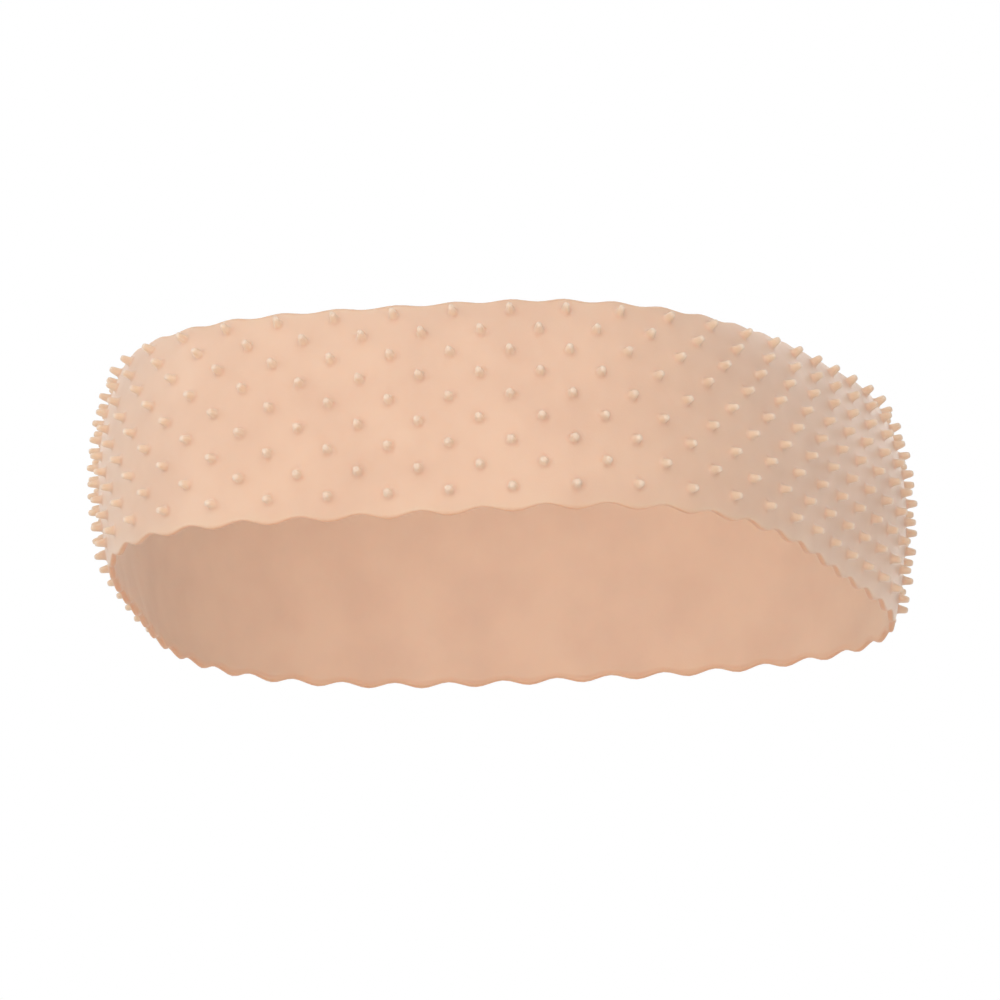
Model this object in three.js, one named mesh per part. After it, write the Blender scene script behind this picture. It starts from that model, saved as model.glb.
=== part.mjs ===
// Wig grip band: one ring of moulded silicone, worn round the head under a wig.
// Staggered rows of small nubs stand on its outside, its inside is smooth, and both edges are scalloped.
// Millimetres, +Z up. The forehead faces -Y, and the origin is the middle of the space for the head.

import * as THREE from 'three';

// The ring in plan, at mid height
const HALF_LENGTH = 86;
const HALF_BREADTH = 72.6;
const FRONT_TAPER = 0.16; // share by which the forehead end is narrower than the middle
const FRONT_POWER = 3.4; // of the superellipse: 2 is an ellipse, more is squarer
const BACK_POWER = 2.4;

// The wall
const BAND_HEIGHT = 41; // along its surface, at the forehead
const WALL = 1.2;
const SEAT_TILT = 5.6; // degrees by which the ring drops towards the nape
const CURL_POWER = 1.8; // how late the wall turns inwards on its way up
const FOOT_SCALLOP = 1.2; // from the crest of the lower edge's wave to its trough
const TOP_SCALLOP = 0.7; // and of the upper edge's

// The nubs
const NUBS_PER_ROW = 48;
const NUB_ROWS = 9;
const NUB_FOOT_RADIUS = 0.95;
const NUB_TIP_RADIUS = 0.6;
const NUB_HEIGHT = 2.2;
const TOP_MARGIN = 2.7; // from the highest row to the upper edge
const FOOT_MARGIN = 4; // from the lowest row to the lower edge

// The wall's shape at equal steps from the middle of the forehead round to the middle of the nape.
// height is a share of BAND_HEIGHT. footLean and topLean are how far the wall tips inwards at its
// lower and upper edges, in degrees.
const STATIONS = [
  { place: 'forehead', height: 1.0, footLean: 5, topLean: 36 },
  { place: 'temple', height: 0.93, footLean: -4, topLean: 29 },
  { place: 'ear', height: 1.03, footLean: -16, topLean: 38 },
  { place: 'behind the ear', height: 1.05, footLean: -8, topLean: 22 },
  { place: 'nape', height: 1.03, footLean: -8, topLean: 12 },
];

const COLUMNS = 2 * NUBS_PER_ROW; // a row's nubs stand on every second column
const PLAN_SAMPLES = 180;
const LENGTH_SAMPLES = 1440; // along the plan curve, to space the columns evenly
const PROFILE_STEPS = 16; // up the wall, to add up its lean
const INNER_LINES = 5; // lines of points between the edges of the smooth inside

// Plan curve, from the forehead by way of +X to the nape and back by way of -X

function planPoint(angle) {
  const power = Math.cos(angle) > 0 ? FRONT_POWER : BACK_POWER;
  const along = Math.abs(Math.cos(angle) / HALF_LENGTH) ** power;
  const across = Math.abs(Math.sin(angle) / HALF_BREADTH) ** power;
  const radius = (along + across) ** (-1 / power);
  const y = -radius * Math.cos(angle);
  const x = radius * Math.sin(angle) * (1 + (FRONT_TAPER * y) / HALF_LENGTH);
  return new THREE.Vector3(x, y, 0);
}

function makePlan() {
  const points = [];
  for (let step = 0; step < PLAN_SAMPLES; step += 1) {
    points.push(planPoint((2 * Math.PI * step) / PLAN_SAMPLES));
  }
  const curve = new THREE.CatmullRomCurve3(points, true);
  curve.arcLengthDivisions = LENGTH_SAMPLES;
  return curve;
}

const plan = makePlan();
const girth = plan.getLength();

// Smooth curves through the stations, mirrored past the forehead and the nape

function stationCurve(column) {
  const values = STATIONS.map((station) => station[column]);
  const mirrored = [values[1], ...values, values.at(-2)];
  return new THREE.SplineCurve(mirrored.map((value, index) => new THREE.Vector2(index, value)));
}

const curves = {
  height: stationCurve('height'),
  footLean: stationCurve('footLean'),
  topLean: stationCurve('topLean'),
};

function stationValue(column, turn) {
  const steps = STATIONS.length - 1;
  const way = 1 - Math.abs(1 - 2 * turn); // 0 at the forehead, 1 at the nape
  return curves[column].getPoint((1 + way * steps) / (steps + 2)).y;
}

function heightAt(turn) {
  return BAND_HEIGHT * stationValue('height', turn);
}

// How far the wall tips inwards at a height along its surface, in radians
function leanAt(turn, up) {
  const share = Math.max(up / heightAt(turn), 0);
  const foot = stationValue('footLean', turn);
  const top = stationValue('topLean', turn);
  return THREE.MathUtils.degToRad(foot + (top - foot) * share ** CURL_POWER);
}

// The wall's profile between two heights along its surface: the way inwards and the way upwards
function profileStep(turn, from, to) {
  const length = (to - from) / PROFILE_STEPS;
  const step = new THREE.Vector2();
  for (let index = 0; index < PROFILE_STEPS; index += 1) {
    const lean = leanAt(turn, from + (index + 0.5) * length);
    step.x += length * Math.sin(lean);
    step.y += length * Math.cos(lean);
  }
  return step;
}

// A point of the wall. turn is the share of the way round, up the distance above the lower edge along
// the surface, and out the distance outwards from the wall's outer face.
function wallPoint(turn, up, out) {
  const share = (turn + 1) % 1;
  const point = plan.getPointAt(share);
  const tangent = plan.getTangentAt(share);
  const outward = new THREE.Vector3(tangent.y, -tangent.x, 0);
  const upward = new THREE.Vector3(0, 0, 1);
  const step = profileStep(share, heightAt(share) / 2, up);
  const lean = leanAt(share, up);
  point.z = -point.y * Math.tan(THREE.MathUtils.degToRad(SEAT_TILT));
  return point
    .addScaledVector(outward, out * Math.cos(lean) - step.x)
    .addScaledVector(upward, out * Math.sin(lean) + step.y);
}

// Rows and edges, as heights along the surface at one column

function turnOf(column) {
  return column / COLUMNS;
}

function rowUp(column, row) {
  const span = heightAt(turnOf(column)) - FOOT_MARGIN - TOP_MARGIN;
  return FOOT_MARGIN + (span * row) / (NUB_ROWS - 1);
}

function hasNub(column, row) {
  return (column + row) % 2 === 0;
}

// An edge's wave has its crest beside each nub of the nearest row
function scallop(column, row, depth) {
  return hasNub(column, row) ? depth / 2 : -depth / 2;
}

function footUp(column) {
  return -scallop(column, 0, FOOT_SCALLOP);
}

function topUp(column) {
  return heightAt(turnOf(column)) + scallop(column, NUB_ROWS - 1, TOP_SCALLOP);
}

// Mesh of the band: shared points, and faces as fans that run counterclockwise seen from outside

const positions = [];
const triangles = [];

function addPoint(point) {
  positions.push(point.x, point.y, point.z);
  return positions.length / 3 - 1;
}

function addFace(...corners) {
  const [first, ...rest] = [...new Set(corners)];
  for (let index = 1; index < rest.length; index += 1) {
    triangles.push(first, rest[index - 1], rest[index]);
  }
}

// Four points round a place on the wall, at a radius along the surface
function diamond(column, row, radius, out) {
  const turn = turnOf(column);
  const up = rowUp(column, row);
  return {
    right: addPoint(wallPoint(turn + radius / girth, up, out)),
    top: addPoint(wallPoint(turn, up + radius, out)),
    left: addPoint(wallPoint(turn - radius / girth, up, out)),
    bottom: addPoint(wallPoint(turn, up - radius, out)),
  };
}

// A nub rises from a diamond on the wall to a smaller one at its tip
function addNub(column, row) {
  const foot = diamond(column, row, NUB_FOOT_RADIUS, 0);
  const tip = diamond(column, row, NUB_TIP_RADIUS, NUB_HEIGHT);
  const sides = ['right', 'top', 'left', 'bottom'];
  sides.forEach((side, index) => {
    const next = sides[(index + 1) % sides.length];
    addFace(foot[side], foot[next], tip[next], tip[side]);
  });
  addFace(tip.right, tip.top, tip.left, tip.bottom);
  return foot;
}

function addPlainCorner(column, row) {
  const corner = addPoint(wallPoint(turnOf(column), rowUp(column, row), 0));
  return { right: corner, top: corner, left: corner, bottom: corner };
}

function addOuterRow(row) {
  return Array.from({ length: COLUMNS }, (_, column) =>
    hasNub(column, row) ? addNub(column, row) : addPlainCorner(column, row),
  );
}

function addLine(upOf, out) {
  return Array.from({ length: COLUMNS }, (_, column) =>
    addPoint(wallPoint(turnOf(column), upOf(column), out)),
  );
}

// The outer wall between two rows, a cell for each pair of columns
function joinRows(lower, upper) {
  for (let column = 0; column < COLUMNS; column += 1) {
    const next = (column + 1) % COLUMNS;
    const near = lower[column];
    const beside = lower[next];
    const far = upper[next];
    const above = upper[column];
    if (beside.left === beside.top) {
      addFace(beside.left, far.bottom, far.left, above.right, near.top, near.right);
    } else {
      addFace(near.right, beside.left, beside.top, far.bottom, above.right, above.bottom);
    }
  }
}

// The plain strips between an edge and its nearest row
function joinFoot(edge, row) {
  for (let column = 0; column < COLUMNS; column += 1) {
    const next = (column + 1) % COLUMNS;
    const { right, bottom } = row[column];
    addFace(edge[column], edge[next], row[next].bottom, row[next].left, right, bottom);
  }
}

function joinTop(row, edge) {
  for (let column = 0; column < COLUMNS; column += 1) {
    const next = (column + 1) % COLUMNS;
    const { top, right } = row[column];
    addFace(edge[next], edge[column], top, right, row[next].left, row[next].top);
  }
}

function joinLines(lower, upper) {
  for (let column = 0; column < COLUMNS; column += 1) {
    const next = (column + 1) % COLUMNS;
    addFace(lower[column], lower[next], upper[next], upper[column]);
  }
}

function addOutside() {
  const foot = addLine(footUp, 0);
  const rows = Array.from({ length: NUB_ROWS }, (_, row) => addOuterRow(row));
  const top = addLine(topUp, 0);
  joinFoot(foot, rows[0]);
  for (let row = 1; row < NUB_ROWS; row += 1) {
    joinRows(rows[row - 1], rows[row]);
  }
  joinTop(rows[NUB_ROWS - 1], top);
  return { foot, top };
}

// The smooth inside runs downwards, so that its faces look into the ring
function addInside() {
  const top = addLine(topUp, -WALL);
  let upper = top;
  for (let line = INNER_LINES; line > 0; line -= 1) {
    const share = line / (INNER_LINES + 1);
    const lower = addLine((column) => share * heightAt(turnOf(column)), -WALL);
    joinLines(upper, lower);
    upper = lower;
  }
  const foot = addLine(footUp, -WALL);
  joinLines(upper, foot);
  return { foot, top };
}

function bandGeometry() {
  const outside = addOutside();
  const inside = addInside();
  joinLines(outside.top, inside.top);
  joinLines(inside.foot, outside.foot);
  const geometry = new THREE.BufferGeometry();
  geometry.setAttribute('position', new THREE.Float32BufferAttribute(positions, 3));
  geometry.setIndex(triangles);
  geometry.computeVertexNormals();
  return geometry;
}

const silicone = new THREE.MeshStandardMaterial({ color: 0xdcb49c, roughness: 0.5, metalness: 0 });

const band = new THREE.Mesh(bandGeometry(), silicone);
band.name = 'grip_band';

const object = new THREE.Group();
object.add(band);

export default object;
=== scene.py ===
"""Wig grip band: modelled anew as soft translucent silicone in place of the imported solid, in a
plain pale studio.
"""

import bisect
import math

import bmesh
import bpy
from bpy.props import FloatProperty, FloatVectorProperty, IntProperty, PointerProperty
from mathutils import Matrix, Vector


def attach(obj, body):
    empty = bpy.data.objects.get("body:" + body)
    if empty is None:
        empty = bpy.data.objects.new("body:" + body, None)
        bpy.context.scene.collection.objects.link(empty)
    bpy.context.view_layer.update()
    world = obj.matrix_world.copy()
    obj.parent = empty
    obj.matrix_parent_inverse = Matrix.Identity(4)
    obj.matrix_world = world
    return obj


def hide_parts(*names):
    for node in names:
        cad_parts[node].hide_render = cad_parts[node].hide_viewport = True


bl_info = {
    "name": "Wig Grip Band",
    "version": (1, 0, 0),
    "blender": (4, 5, 0),
    "location": "3D View > Sidebar > Grip Band",
    "description": "Models a worn silicone wig grip band with its nubs, and a pale studio round it",
    "category": "Object",
}

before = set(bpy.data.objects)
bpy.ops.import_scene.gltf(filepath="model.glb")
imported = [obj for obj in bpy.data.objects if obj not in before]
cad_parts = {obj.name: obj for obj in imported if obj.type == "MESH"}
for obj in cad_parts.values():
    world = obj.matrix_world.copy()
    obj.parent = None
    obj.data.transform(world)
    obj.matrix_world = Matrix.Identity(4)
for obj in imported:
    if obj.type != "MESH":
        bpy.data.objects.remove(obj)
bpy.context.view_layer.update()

MM = 0.001

# The wall's shape at equal steps from the middle of the forehead round to the middle of the nape:
# its height as a share of the band's, and how far it tips inwards at its lower and upper edges,
# in degrees
STATIONS = (
    (1.00, 5, 36),  # forehead
    (0.93, -4, 29),  # temple
    (1.03, -16, 38),  # ear
    (1.05, -8, 22),  # behind the ear
    (1.03, -8, 12),  # nape
)
HEIGHT, FOOT_LEAN, TOP_LEAN = range(3)  # its columns

PLAN_SAMPLES = 1440  # round the plan curve, to space the nubs evenly
PROFILE_STEPS = 16  # up the wall, to add up its lean
COLUMN_FACES = 4  # faces of the wall from one nub of a row to the next
RIM_LINE = 0.4 * MM  # from an edge to the line that keeps its corner tight
INNER_LINES = 6  # lines between the edges of the smooth inside
SCALLOP_REACH = 1.4 * MM  # from an edge to where its wave has died out
CAGE_WAVE = 1.5  # how much the wave is raised in the cage, because the subdivision flattens it

# Rings of a nub from its foot to its tip, as shares of the foot's radius and of the height
NUB_RINGS = ((1.28, 0.0), (0.92, 0.13), (0.74, 0.8), (0.46, 1.03))
NUB_SIDES = 8  # of the face that is left where a vertex and the four faces round it are dissolved
NUB_COLLAR = 0.5 * MM  # width of the strip of faces that is cut round that face
GRID_SLACK = 0.1  # how far a nub's column and row may be from a whole number

# The silicone
COLOUR_SPREAD = (1, 0.94, 0.88)  # of red, green and blue light in it, as shares of the light depth
FORWARD_SCATTER = 0.2
REFRACTION = 1.41
SPECULAR = 0.35
PATCH_SIZE = 14 * MM
PATCH_RANGE = (0.38, 0.66)  # cloud values at which the thick colour begins and is fullest
PATCH_SHARE = 0.4  # of the thick colour where it is fullest
TIP_LIGHT_START = 0.7  # share of a nub's height at which the tip's paler colour, painted light, begins
GLOSS_RANGE = (0.3, 0.7)  # cloud values between which the roughness changes
GLOSS_CHANGE = (-0.06, 0.08)  # by these amounts
INSIDE_CHANGE = -0.1  # of the roughness, on the smooth inside
TIP_CHANGE = 0.35  # of the roughness, at a nub's tip
GRAIN_SIZE = 0.45 * MM
GRAIN_DEPTH = 0.06 * MM
CLOUD_DETAIL = 3

# The floor and the white room, with lengths in metres
FLOOR_HALF = 6
FLOOR_PATCH = 0.4
FLOOR_COLOURS = ((0.86, 0.86, 0.86, 1), (0.9, 0.9, 0.9, 1))
FLOOR_ROUGHNESS = 0.7
FLOOR_GLOW = 0.5
WHITE = (1, 1, 1, 1)
ROOM_FILL = 0.33  # share of its brightness by which the room lights the band
SENSOR_WIDTH = 36  # of the camera, in millimetres

# The studio's lights: azimuth from straight in front and elevation, in degrees, and power in watts
SOFT_LIGHTS = (
    ("left light", -70, 15, 6.3),
    ("front light", 0, 15, 6.8),
    ("right light", 35, 15, 5.1),
    ("top light", 0, 65, 4.5),
    ("back left light", -150, 15, 2.5),
    ("back right light", 165, 15, 6.5),
)
LIGHT_SIZE = 1.4  # metres
LIGHT_DISTANCE = 1.6  # metres, from the middle of the band


# Sizes and colours that a user would change


class BandShape(bpy.types.PropertyGroup):
    """Sizes of the ring and of its wall"""

    half_length: FloatProperty(
        name="Half length",
        description="From the middle of the head space to the forehead, at mid height",
        default=86 * MM,
        min=70 * MM,
        unit="LENGTH",
    )
    half_breadth: FloatProperty(
        name="Half breadth",
        description="From the middle of the head space to the side, at mid height",
        default=72.6 * MM,
        min=60 * MM,
        unit="LENGTH",
    )
    front_taper: FloatProperty(
        name="Front taper",
        description="Share by which the forehead end is narrower than the middle",
        default=0.16,
        min=0,
        max=0.5,
        subtype="FACTOR",
    )
    front_power: FloatProperty(
        name="Front squareness",
        description="Power of the curve round the forehead: 2 is an ellipse, more is squarer",
        default=3.4,
        min=2,
        max=6,
    )
    back_power: FloatProperty(
        name="Back squareness",
        description="Power of the curve round the nape: 2 is an ellipse, more is squarer",
        default=2.4,
        min=2,
        max=6,
    )
    height: FloatProperty(
        name="Height",
        description="Height of the band along its surface, at the forehead",
        default=41 * MM,
        min=20 * MM,
        unit="LENGTH",
    )
    wall: FloatProperty(
        name="Wall",
        description="Thickness of the wall between the nubs",
        default=1.2 * MM,
        min=0.5 * MM,
        unit="LENGTH",
    )
    seat_tilt: FloatProperty(
        name="Seat tilt",
        description="How far the ring drops towards the nape",
        default=math.radians(5.6),
        subtype="ANGLE",
    )
    curl_power: FloatProperty(
        name="Curl",
        description="How late the wall turns inwards on its way up",
        default=1.8,
        min=1,
        max=4,
    )
    foot_scallop: FloatProperty(
        name="Foot scallop",
        description="From the crest of the lower edge's wave to its trough",
        default=1.2 * MM,
        min=0,
        unit="LENGTH",
    )
    top_scallop: FloatProperty(
        name="Top scallop",
        description="From the crest of the upper edge's wave to its trough",
        default=0.7 * MM,
        min=0,
        unit="LENGTH",
    )


class NubPattern(bpy.types.PropertyGroup):
    """Number, size and place of the nubs"""

    per_row: IntProperty(
        name="Nubs in a row",
        description="Number of nubs in one row round the band",
        default=48,
        min=12,
        max=96,
    )
    rows: IntProperty(
        name="Rows",
        description="Number of staggered rows from the lower edge to the upper one",
        default=9,
        min=3,
        max=15,
    )
    foot_radius: FloatProperty(
        name="Foot radius",
        description="Radius of a nub just above the fillet round its foot",
        default=0.95 * MM,
        min=0.3 * MM,
        unit="LENGTH",
    )
    height: FloatProperty(
        name="Height",
        description="How far a nub stands out from the wall",
        default=2.2 * MM,
        min=0.3 * MM,
        unit="LENGTH",
    )
    top_margin: FloatProperty(
        name="Top margin",
        description="From the highest row to the upper edge",
        default=2.7 * MM,
        min=2 * MM,
        unit="LENGTH",
    )
    foot_margin: FloatProperty(
        name="Foot margin",
        description="From the lowest row to the lower edge",
        default=4 * MM,
        min=2 * MM,
        unit="LENGTH",
    )


class SiliconeFinish(bpy.types.PropertyGroup):
    """Colour, gloss and depth of the silicone"""

    colour: FloatVectorProperty(
        name="Colour",
        description="Main colour of the silicone",
        default=(0.84, 0.61, 0.455),
        min=0,
        max=1,
        subtype="COLOR",
    )
    # Painted light: the nubs' tips are coloured a shade paler than the wall, for the light that
    # enters them from all sides
    tip_light_colour: FloatVectorProperty(
        name="Tip colour",
        description="Colour of the nubs' tips, which light enters from all sides",
        default=(0.85, 0.61, 0.475),
        min=0,
        max=1,
        subtype="COLOR",
    )
    thick_colour: FloatVectorProperty(
        name="Thick colour",
        description="Colour where one looks through more silicone, in cloudy patches",
        default=(0.74, 0.515, 0.38),
        min=0,
        max=1,
        subtype="COLOR",
    )
    # Painted shade: both rims are coloured darker, as a fine line of shade along the edges
    rim_shade_colour: FloatVectorProperty(
        name="Rim colour",
        description="Colour of both rims, which read as a fine darker line",
        default=(0.78, 0.43, 0.27),
        min=0,
        max=1,
        subtype="COLOR",
    )
    light_depth: FloatProperty(
        name="Light depth",
        description="How far light spreads inside the silicone",
        default=1.6 * MM,
        min=0.1 * MM,
        unit="LENGTH",
    )
    roughness: FloatProperty(
        name="Roughness",
        description="Roughness of the satin surface",
        default=0.5,
        min=0,
        max=1,
        subtype="FACTOR",
    )
    grain: FloatProperty(
        name="Mould grain",
        description="Strength of the fine grain that the mould leaves",
        default=0.25,
        min=0,
        max=1,
        subtype="FACTOR",
    )


class Studio(bpy.types.PropertyGroup):
    """Camera, floor and light"""

    azimuth: FloatProperty(
        name="Azimuth",
        description="Angle of the camera round the band, from straight in front of the forehead",
        default=math.radians(11.27),
        subtype="ANGLE",
    )
    distance: FloatProperty(
        name="Distance",
        description="From the camera to the middle of the band, on the level",
        default=1.5,
        unit="LENGTH",
    )
    drop: FloatProperty(
        name="Drop",
        description="How far the camera stands below the middle of the band",
        default=149.8 * MM,
        unit="LENGTH",
    )
    side: FloatProperty(
        name="Side",
        description="How far the camera stands to the right of the line through the band's middle",
        default=14 * MM,
        unit="LENGTH",
    )
    pan: FloatProperty(
        name="Pan",
        description="Turn of the camera to the left",
        default=math.radians(0.47),
        subtype="ANGLE",
    )
    pitch: FloatProperty(
        name="Pitch",
        description="Tip of the camera upwards",
        default=math.radians(5.66),
        subtype="ANGLE",
    )
    roll: FloatProperty(
        name="Roll",
        description="Turn of the camera about its own line of sight, clockwise",
        default=math.radians(2.05),
        subtype="ANGLE",
    )
    lens: FloatProperty(
        name="Lens",
        description="Focal length in millimetres, on a sensor 36 mm wide",
        default=288,
        min=20,
    )
    floor_drop: FloatProperty(
        name="Floor drop",
        description="From the middle of the band down to the floor",
        default=0.28,
        unit="LENGTH",
    )
    light: FloatProperty(
        name="Light",
        description="Strength of the studio light, as a share of the usual",
        default=1,
        min=0,
    )


# The worn shape


def plan_point(shape, angle):
    """Point of the egg-shaped plan curve, from the forehead by way of +X to the nape"""
    power = shape.front_power if math.cos(angle) > 0 else shape.back_power
    along = abs(math.cos(angle) / shape.half_length) ** power
    across = abs(math.sin(angle) / shape.half_breadth) ** power
    radius = (along + across) ** (-1 / power)
    y = -radius * math.cos(angle)
    x = radius * math.sin(angle) * (1 + shape.front_taper * y / shape.half_length)
    return Vector((x, y, 0))


def station_value(column, turn):
    """Smooth curve through a column of STATIONS, mirrored past the forehead and the nape"""
    values = [station[column] for station in STATIONS]
    values = [values[1], *values, values[-2]]
    way = (1 - abs(1 - 2 * turn)) * (len(STATIONS) - 1)
    first = min(int(way), len(STATIONS) - 2)
    share = way - first
    before, start, end, after = values[first : first + 4]
    leave, arrive = (end - before) / 2, (after - start) / 2
    return (
        start
        + leave * share
        + (3 * (end - start) - 2 * leave - arrive) * share**2
        + (2 * (start - end) + leave + arrive) * share**3
    )


class WornBand:
    """Knows where each place of the flat, round ring lies on the worn band"""

    def __init__(self, shape, nubs):
        self.shape = shape
        self.nubs = nubs
        self.plan = [
            plan_point(shape, math.tau * step / PLAN_SAMPLES) for step in range(PLAN_SAMPLES + 1)
        ]
        self.along = [0.0]
        for start, end in zip(self.plan, self.plan[1:]):
            self.along.append(self.along[-1] + (end - start).length)
        self.girth = self.along[-1]

    def plan_at(self, turn):
        """Point of the plan and the way outwards there, by the share of the way round"""
        length = (turn % 1) * self.girth
        first = min(bisect.bisect_right(self.along, length) - 1, PLAN_SAMPLES - 1)
        share = (length - self.along[first]) / (self.along[first + 1] - self.along[first])
        point = self.plan[first].lerp(self.plan[first + 1], share)
        tangent = self.tangent(first).lerp(self.tangent(first + 1), share).normalized()
        return point, Vector((tangent.y, -tangent.x, 0))

    def tangent(self, sample):
        before = self.plan[(sample - 1) % PLAN_SAMPLES]
        after = self.plan[(sample + 1) % PLAN_SAMPLES]
        return after - before

    def height(self, turn):
        return self.shape.height * station_value(HEIGHT, turn)

    def lean(self, turn, up):
        """How far the wall tips inwards at a height along its surface"""
        share = max(up / self.height(turn), 0) ** self.shape.curl_power
        foot, top = station_value(FOOT_LEAN, turn), station_value(TOP_LEAN, turn)
        return math.radians(foot + (top - foot) * share)

    def profile_step(self, turn, start, end):
        """The way inwards and the way upwards between two heights along the wall"""
        length = (end - start) / PROFILE_STEPS
        leans = [
            self.lean(turn, start + (step + 0.5) * length) for step in range(PROFILE_STEPS)
        ]
        inwards = sum(length * math.sin(lean) for lean in leans)
        upwards = sum(length * math.cos(lean) for lean in leans)
        return inwards, upwards

    def worn_up(self, turn, up):
        """Height on the worn wall: the margins stay, and the rows between share what is left"""
        foot, top = self.nubs.foot_margin, self.nubs.top_margin
        height, flat = self.height(turn), self.shape.height
        if up < foot:
            return up
        if up > flat - top:
            return height - (flat - up)
        return foot + (up - foot) * (height - foot - top) / (flat - foot - top)

    def wave(self, turn, up):
        """How far the scallops move a place near an edge upwards"""
        foot_crest = CAGE_WAVE / 2 * math.cos(math.tau * turn * self.nubs.per_row)
        top_crest = foot_crest if self.nubs.rows % 2 else -foot_crest
        near_foot = max(1 - up / SCALLOP_REACH, 0)
        near_top = max(1 - (self.shape.height - up) / SCALLOP_REACH, 0)
        foot_wave = foot_crest * self.shape.foot_scallop * near_foot
        return top_crest * self.shape.top_scallop * near_top - foot_wave

    def place(self, turn, up, out):
        """Place on the worn band, by the height and the distance outwards on the flat ring"""
        point, outward = self.plan_at(turn)
        height = self.worn_up(turn, up) + self.wave(turn, up)
        inwards, upwards = self.profile_step(turn, self.height(turn) / 2, height)
        lean = self.lean(turn, height)
        upward = Vector((0, 0, 1))
        seat = -point.y * math.tan(self.shape.seat_tilt)
        return (
            point
            + outward * (out * math.cos(lean) - inwards)
            + upward * (seat + out * math.sin(lean) + upwards)
        )


# The band, modelled as a flat, round ring and then given its worn shape


class FlatRing:
    """The band's mesh on a round ring that stands on the plane z = 0"""

    def __init__(self, shape, nubs, girth):
        self.shape = shape
        self.nubs = nubs
        self.girth = girth
        self.radius = girth / math.tau
        self.steps = COLUMN_FACES * nubs.per_row
        self.half_row = (shape.height - nubs.foot_margin - nubs.top_margin) / (2 * (nubs.rows - 1))
        self.bm = bmesh.new()

    def point(self, turn, up, out):
        angle = math.tau * turn
        radius = self.radius + out
        return Vector((radius * math.sin(angle), -radius * math.cos(angle), up))

    def where(self, point):
        """Share of the way round, height and distance outwards of a point"""
        turn = math.atan2(point.x, -point.y) / math.tau % 1
        return turn, point.z, point.xy.length - self.radius

    def make_wall(self):
        """Spins the wall's cut once round"""
        bm = self.bm
        height = self.shape.height
        lowest, spacing = self.nubs.foot_margin, self.half_row
        lines = [lowest + spacing * line for line in range(-1, 2 * self.nubs.rows)]
        outer = [0, RIM_LINE, *lines, height]
        span = (height - 2 * RIM_LINE) / (INNER_LINES + 1)
        inner = [RIM_LINE + span * line for line in range(INNER_LINES + 2)]
        corners = [(up, 0) for up in outer]
        corners += [(up, -self.shape.wall) for up in [height, *reversed(inner), 0]]
        verts = [bm.verts.new(self.point(0, up, out)) for up, out in corners]
        edges = [bm.edges.new(pair) for pair in zip(verts, verts[1:] + verts[:1])]
        bmesh.ops.spin(
            bm,
            geom=verts + edges,
            cent=(0, 0, 0),
            axis=(0, 0, 1),
            dvec=(0, 0, 0),
            angle=math.tau,
            space=Matrix.Identity(4),
            steps=self.steps,
            use_merge=True,
            use_normal_flip=False,
            use_duplicate=False,
        )
        bmesh.ops.recalc_face_normals(bm, faces=bm.faces[:])

    def is_nub_centre(self, vert):
        """Whether a nub stands on this vertex, with the rows staggered by half a step"""
        turn, up, out = self.where(vert.co)
        column = turn * 2 * self.nubs.per_row
        row = (up - self.nubs.foot_margin) / (2 * self.half_row)
        on_grid = max(abs(column - round(column)), abs(row - round(row))) < GRID_SLACK
        on_outside = abs(out) < self.shape.wall / 2 and 0 <= round(row) < self.nubs.rows
        return on_grid and on_outside and (round(column) + round(row)) % 2 == 0

    def raise_nubs(self):
        """Opens an eight-sided face at each nub, and draws it out ring by ring"""
        bm = self.bm
        rise = bm.verts.layers.float.new("nub_rise")
        centres = [vert for vert in bm.verts if self.is_nub_centre(vert)]
        bmesh.ops.dissolve_verts(bm, verts=centres)
        faces = [face for face in bm.faces if len(face.verts) == NUB_SIDES]
        if len(faces) != self.nubs.per_row * self.nubs.rows:
            raise RuntimeError("the nubs don't fit between the wall's lines")
        bmesh.ops.inset_individual(
            bm, faces=faces, thickness=NUB_COLLAR, depth=0, use_even_offset=True
        )
        for number, (width, share) in enumerate(NUB_RINGS):
            if number:
                faces = bmesh.ops.extrude_discrete_faces(bm, faces=faces)["faces"]
            for face in faces:
                self.round_ring(face, width * self.nubs.foot_radius, share * self.nubs.height)
                for vert in face.verts:
                    vert[rise] = share

    def round_ring(self, face, radius, out):
        """Sets the corners of a nub's face evenly on a circle"""
        middle_turn, middle_up, _ = self.where(face.calc_center_median())
        for vert in face.verts:
            turn, up, _ = self.where(vert.co)
            across = ((turn - middle_turn + 0.5) % 1 - 0.5) * self.steps
            direction = math.atan2((up - middle_up) / self.half_row, across)
            corner = round(direction / (math.tau / NUB_SIDES))
            angle = corner * math.tau / NUB_SIDES
            vert.co = self.point(
                middle_turn + radius * math.cos(angle) / self.girth,
                middle_up + radius * math.sin(angle),
                out,
            )

    def mark_finish(self):
        """Marks the smooth inside, and both rims for their painted line of shade, for the material
        """
        inside = self.bm.verts.layers.float.new("inside")
        rim_shade = self.bm.verts.layers.float.new("rim_shade")
        for vert in self.bm.verts:
            _, up, out = self.where(vert.co)
            vert[inside] = float(out < -self.shape.wall / 2)
            vert[rim_shade] = float(min(up, self.shape.height - up) < RIM_LINE / 2)

    def wear(self, worn):
        """Moves every point to its place on the worn band"""
        for vert in self.bm.verts:
            vert.co = worn.place(*self.where(vert.co))


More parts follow.
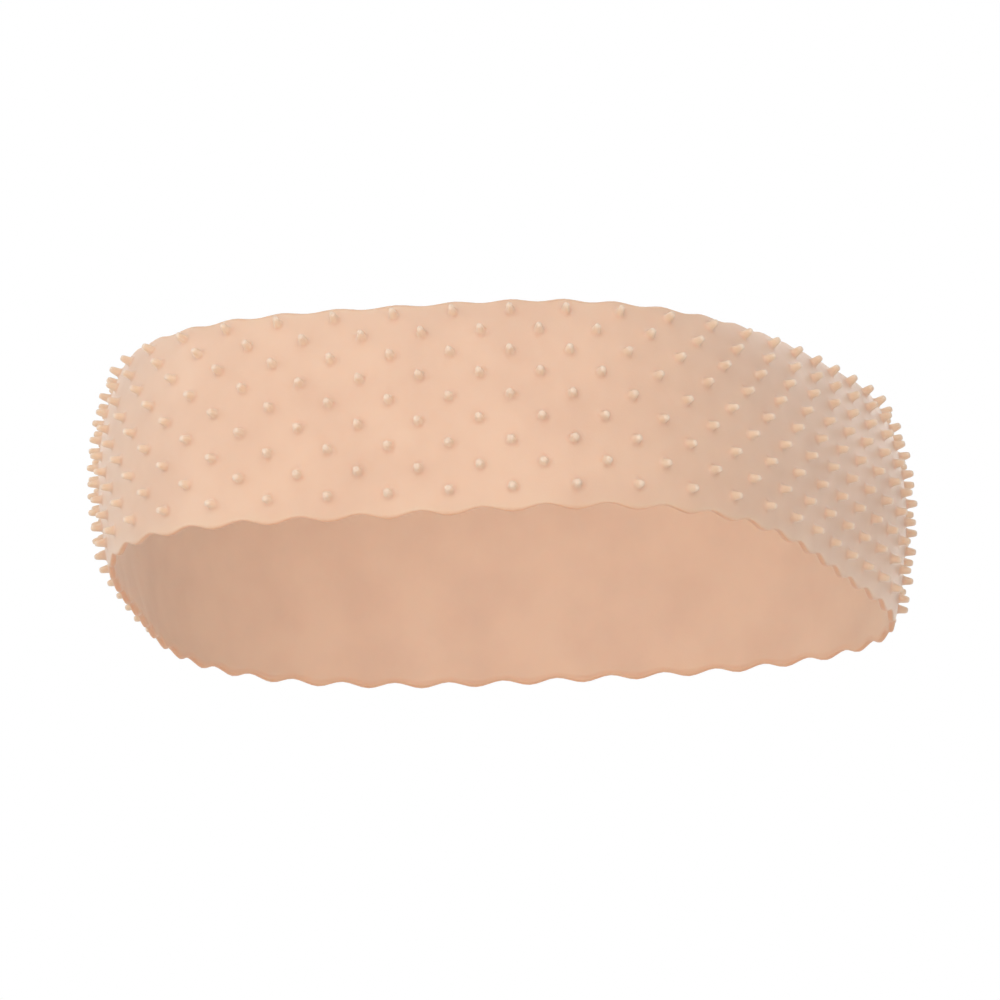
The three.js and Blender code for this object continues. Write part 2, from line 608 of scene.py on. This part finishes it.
class GRIPBAND_OT_band(bpy.types.Operator):
    """Model the band in its worn shape: its ring wall, its nubs and its scalloped edges"""

    bl_idname = "gripband.band"
    bl_label = "Make Band"

    def execute(self, context):
        shape, nubs = context.scene.band_shape, context.scene.nub_pattern
        worn = WornBand(shape, nubs)
        ring = FlatRing(shape, nubs, worn.girth)
        ring.make_wall()
        ring.raise_nubs()
        ring.mark_finish()
        ring.wear(worn)
        mesh = bpy.data.meshes.new("silicone_band")
        ring.bm.to_mesh(mesh)
        ring.bm.free()
        mesh.shade_smooth()
        band = bpy.data.objects.new("silicone_band", mesh)
        context.scene.collection.objects.link(band)
        rounding = band.modifiers.new("Soft rounding", "SUBSURF")
        rounding.levels = rounding.render_levels = 1
        mesh.materials.append(silicone_material(context.scene.silicone_finish))
        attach(band, "root")
        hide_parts("grip_band")
        return {"FINISHED"}


# Materials


def socket(group, name, kind, way, default=None):
    made = group.interface.new_socket(name=name, socket_type=kind, in_out=way)
    if default is not None:
        made.default_value = default
    return made


def soft_clouds_group():
    """Node group: soft patches for a tint, and a fine grain for a bump, at sizes in metres"""
    group = bpy.data.node_groups.new("Soft Clouds and Grain", "ShaderNodeTree")
    socket(group, "Patch Size", "NodeSocketFloat", "INPUT", PATCH_SIZE)
    socket(group, "Grain Size", "NodeSocketFloat", "INPUT", GRAIN_SIZE)
    socket(group, "Clouds", "NodeSocketFloat", "OUTPUT")
    socket(group, "Grain", "NodeSocketFloat", "OUTPUT")
    nodes, links = group.nodes, group.links
    start = nodes.new("NodeGroupInput")
    end = nodes.new("NodeGroupOutput")
    coordinates = nodes.new("ShaderNodeTexCoord")
    for size, result in (("Patch Size", "Clouds"), ("Grain Size", "Grain")):
        scale = nodes.new("ShaderNodeMath")
        scale.operation = "DIVIDE"
        scale.inputs[0].default_value = 1
        links.new(start.outputs[size], scale.inputs[1])
        noise = nodes.new("ShaderNodeTexNoise")
        noise.inputs["Detail"].default_value = CLOUD_DETAIL
        links.new(coordinates.outputs["Object"], noise.inputs["Vector"])
        links.new(scale.outputs[0], noise.inputs["Scale"])
        links.new(noise.outputs["Fac"], end.inputs[result])
    return group


def new_material(name):
    material = bpy.data.materials.new(name)
    material.use_nodes = True
    nodes = material.node_tree.nodes
    return material, nodes, material.node_tree.links, nodes["Principled BSDF"]


def clouds_node(nodes, patch_size):
    group = bpy.data.node_groups.get("Soft Clouds and Grain") or soft_clouds_group()
    clouds = nodes.new("ShaderNodeGroup")
    clouds.node_tree = group
    clouds.inputs["Patch Size"].default_value = patch_size
    return clouds


def math_node(nodes, links, operation, first, second):
    """Math node; each operand is a socket or a number"""
    made = nodes.new("ShaderNodeMath")
    made.operation = operation
    for operand, value in zip(made.inputs, (first, second)):
        if isinstance(value, (int, float)):
            operand.default_value = value
        else:
            links.new(value, operand)
    return made.outputs[0]


def range_node(nodes, links, value, start, end):
    """Map range node, from the first pair of numbers to the second"""
    made = nodes.new("ShaderNodeMapRange")
    links.new(value, made.inputs["Value"])
    for name, number in zip(("From Min", "From Max", "To Min", "To Max"), (*start, *end)):
        made.inputs[name].default_value = number
    return made.outputs["Result"]


def mix_node(nodes, links, share, first, second):
    """Mix of two colours; the first is a socket or a colour"""
    made = nodes.new("ShaderNodeMix")
    made.data_type = "RGBA"
    links.new(share, made.inputs["Factor"])
    if isinstance(first, tuple):
        made.inputs["A"].default_value = first
    else:
        links.new(first, made.inputs["A"])
    made.inputs["B"].default_value = second
    return made.outputs["Result"]


def attribute_node(nodes, name):
    made = nodes.new("ShaderNodeAttribute")
    made.attribute_name = name
    return made.outputs["Fac"]


def silicone_material(finish):
    material, nodes, links, shader = new_material("Translucent silicone")
    shader.inputs["Subsurface Weight"].default_value = 1
    shader.inputs["Subsurface Radius"].default_value = COLOUR_SPREAD
    shader.inputs["Subsurface Scale"].default_value = finish.light_depth
    shader.inputs["Subsurface Anisotropy"].default_value = FORWARD_SCATTER
    shader.inputs["IOR"].default_value = REFRACTION
    shader.inputs["Specular IOR Level"].default_value = SPECULAR
    clouds = clouds_node(nodes, PATCH_SIZE)
    rise = attribute_node(nodes, "nub_rise")
    patches = range_node(nodes, links, clouds.outputs["Clouds"], PATCH_RANGE, (0, PATCH_SHARE))
    tip = range_node(nodes, links, rise, (TIP_LIGHT_START, 1), (0, 1))
    wall = mix_node(nodes, links, patches, (*finish.colour, 1), (*finish.thick_colour, 1))
    # Painted shade: a darker line along both rims
    rim_shaded = mix_node(nodes, links, attribute_node(nodes, "rim_shade"), wall, (*finish.rim_shade_colour, 1))
    # Painted light: the tips of the nubs are coloured paler, for the light that enters them
    tip_lit = mix_node(nodes, links, tip, rim_shaded, (*finish.tip_light_colour, 1))
    links.new(tip_lit, shader.inputs["Base Color"])
    gloss_ends = [finish.roughness + change for change in GLOSS_CHANGE]
    gloss = range_node(nodes, links, clouds.outputs["Clouds"], GLOSS_RANGE, gloss_ends)
    for mark, change in ((attribute_node(nodes, "inside"), INSIDE_CHANGE), (rise, TIP_CHANGE)):
        gloss = math_node(
            nodes, links, "ADD", gloss, math_node(nodes, links, "MULTIPLY", mark, change)
        )
    links.new(gloss, shader.inputs["Roughness"])
    bump = nodes.new("ShaderNodeBump")
    bump.inputs["Strength"].default_value = finish.grain
    bump.inputs["Distance"].default_value = GRAIN_DEPTH
    links.new(clouds.outputs["Grain"], bump.inputs["Height"])
    links.new(bump.outputs["Normal"], shader.inputs["Normal"])
    return material


def floor_material():
    material, nodes, links, shader = new_material("Pale matt floor")
    shader.inputs["Roughness"].default_value = FLOOR_ROUGHNESS
    clouds = clouds_node(nodes, FLOOR_PATCH)
    tint = mix_node(nodes, links, clouds.outputs["Clouds"], *FLOOR_COLOURS)
    links.new(tint, shader.inputs["Base Color"])
    # Far from the lights the floor would look grey, so it glows a little where the camera sees it
    shader.inputs["Emission Color"].default_value = WHITE
    seen = nodes.new("ShaderNodeLightPath").outputs["Is Camera Ray"]
    glow = math_node(nodes, links, "MULTIPLY", seen, FLOOR_GLOW)
    links.new(glow, shader.inputs["Emission Strength"])
    return material


# The stage


def add_floor(scene, studio):
    bm = bmesh.new()
    bmesh.ops.create_grid(bm, x_segments=4, y_segments=4, size=FLOOR_HALF)
    bmesh.ops.translate(bm, verts=bm.verts, vec=(0, 0, -studio.floor_drop))
    mesh = bpy.data.meshes.new("floor")
    bm.to_mesh(mesh)
    bm.free()
    mesh.materials.append(floor_material())
    floor = bpy.data.objects.new("floor", mesh)
    scene.collection.objects.link(floor)


def add_soft_light(scene, name, azimuth, elevation, power):
    """Square area light that faces the band from the given side"""
    data = bpy.data.lights.new(name, "AREA")
    data.size = LIGHT_SIZE
    data.energy = power
    light = bpy.data.objects.new(name, data)
    side, rise = math.radians(azimuth), math.radians(elevation)
    back = Vector(
        (math.sin(side) * math.cos(rise), -math.cos(side) * math.cos(rise), math.sin(rise))
    )
    light.location = back * LIGHT_DISTANCE
    light.rotation_euler = (-back).to_track_quat("-Z", "Y").to_euler()
    scene.collection.objects.link(light)


def add_world(scene, fill):
    """White room: seen and mirrored at full brightness, and lighting the band by the given share"""
    world = bpy.data.worlds.new("White room")
    world.use_nodes = True
    nodes, links = world.node_tree.nodes, world.node_tree.links
    room = nodes["Background"]
    room.inputs["Color"].default_value = WHITE
    path = nodes.new("ShaderNodeLightPath")
    seen = math_node(
        nodes, links, "MAXIMUM", path.outputs["Is Camera Ray"], path.outputs["Is Glossy Ray"]
    )
    links.new(range_node(nodes, links, seen, (0, 1), (fill, 1)), room.inputs["Strength"])
    scene.world = world


def add_camera(scene, studio):
    side = studio.azimuth
    right = Vector((math.cos(side), math.sin(side), 0))
    back = Vector((math.sin(side), -math.cos(side), 0))
    data = bpy.data.cameras.new("camera")
    data.sensor_width = SENSOR_WIDTH
    data.lens = studio.lens
    camera = bpy.data.objects.new("camera", data)
    camera.location = right * studio.side + back * studio.distance - Vector((0, 0, studio.drop))
    level = Matrix.Rotation(side + studio.pan, 4, "Z") @ Matrix.Rotation(math.radians(90), 4, "X")
    aimed = level @ Matrix.Rotation(studio.pitch, 4, "X") @ Matrix.Rotation(-studio.roll, 4, "Z")
    camera.rotation_euler = aimed.to_euler()
    scene.collection.objects.link(camera)
    scene.camera = camera


class GRIPBAND_OT_stage(bpy.types.Operator):
    """Set up the pale floor, the soft studio light and the camera"""

    bl_idname = "gripband.stage"
    bl_label = "Make Stage"

    def execute(self, context):
        scene, studio = context.scene, context.scene.grip_studio
        add_floor(scene, studio)
        scene.view_settings.view_transform = "Standard"
        add_world(scene, ROOM_FILL * studio.light)
        for name, azimuth, elevation, power in SOFT_LIGHTS:
            add_soft_light(scene, name, azimuth, elevation, power * studio.light)
        add_camera(scene, studio)
        return {"FINISHED"}


class GRIPBAND_PT_sidebar(bpy.types.Panel):
    bl_label = "Wig Grip Band"
    bl_idname = "GRIPBAND_PT_sidebar"
    bl_space_type = "VIEW_3D"
    bl_region_type = "UI"
    bl_category = "Grip Band"

    def draw(self, context):
        scene = context.scene
        for title, settings in (
            ("Band", scene.band_shape),
            ("Nubs", scene.nub_pattern),
            ("Silicone", scene.silicone_finish),
            ("Studio", scene.grip_studio),
        ):
            box = self.layout.box()
            box.label(text=title)
            for name in settings.__annotations__:
                box.prop(settings, name)
        self.layout.operator(GRIPBAND_OT_band.bl_idname)
        self.layout.operator(GRIPBAND_OT_stage.bl_idname)


SETTINGS = {
    "band_shape": BandShape,
    "nub_pattern": NubPattern,
    "silicone_finish": SiliconeFinish,
    "grip_studio": Studio,
}
CLASSES = (*SETTINGS.values(), GRIPBAND_OT_band, GRIPBAND_OT_stage, GRIPBAND_PT_sidebar)


def register():
    for made in CLASSES:
        bpy.utils.register_class(made)
    for name, settings in SETTINGS.items():
        setattr(bpy.types.Scene, name, PointerProperty(type=settings))


def unregister():
    for name in SETTINGS:
        delattr(bpy.types.Scene, name)
    for made in reversed(CLASSES):
        bpy.utils.unregister_class(made)


def main():
    register()
    bpy.ops.gripband.band()
    bpy.ops.gripband.stage()


if __name__ == "__main__":
    main()
